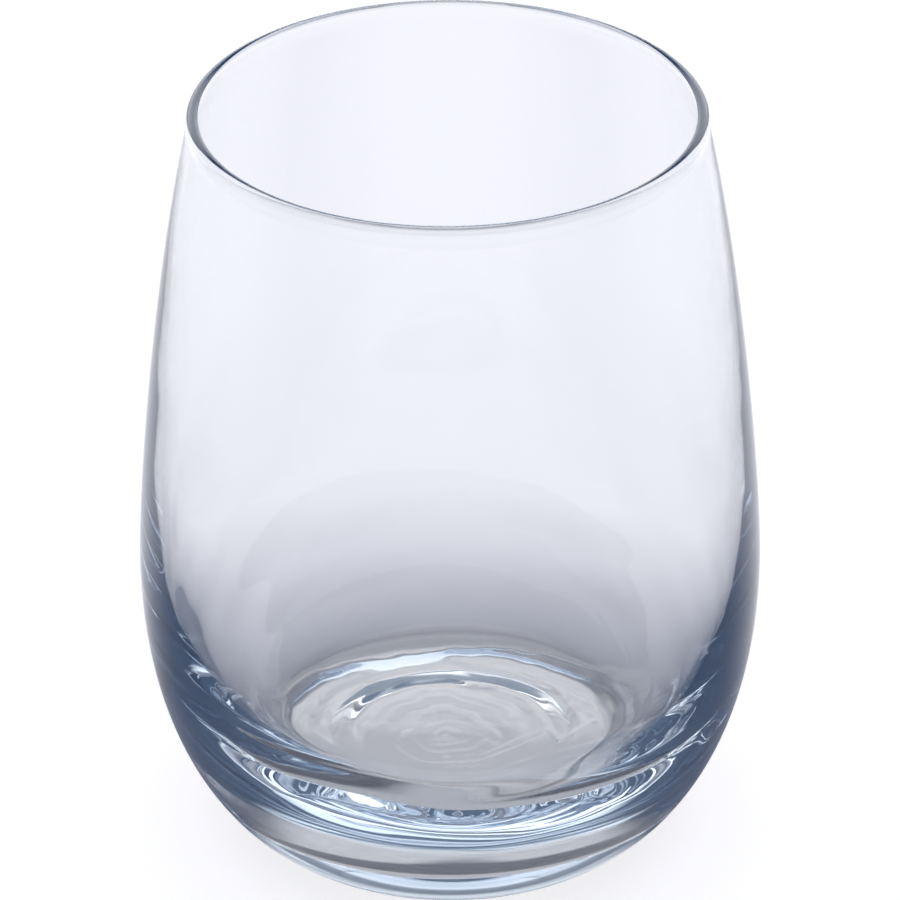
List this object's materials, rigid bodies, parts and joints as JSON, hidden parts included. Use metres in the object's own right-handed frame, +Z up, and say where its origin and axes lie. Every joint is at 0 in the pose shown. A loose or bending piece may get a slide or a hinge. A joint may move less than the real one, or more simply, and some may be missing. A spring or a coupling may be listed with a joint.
{
  "type": "drinking glass",
  "caption": "Clear stemless drinking glass: barrel-shaped tumbler with a thin rounded rim, walls that thicken downwards and a heavy base.",
  "frame": {"origin": "centre of the ring that the glass stands on, at table level", "axes": "+Z up along the axis of the glass, through the mouth; the glass is the same all round, so X and Y are free"},
  "size_m": [0.0804, 0.0804, 0.1],
  "materials": {
    "clear_glass": "clear, fire polished"
  },
  "bodies": {
    "root": {"base": "clear_glass", "bowl": "clear_glass", "rim": "clear_glass"}
  },
  "joints": []
}
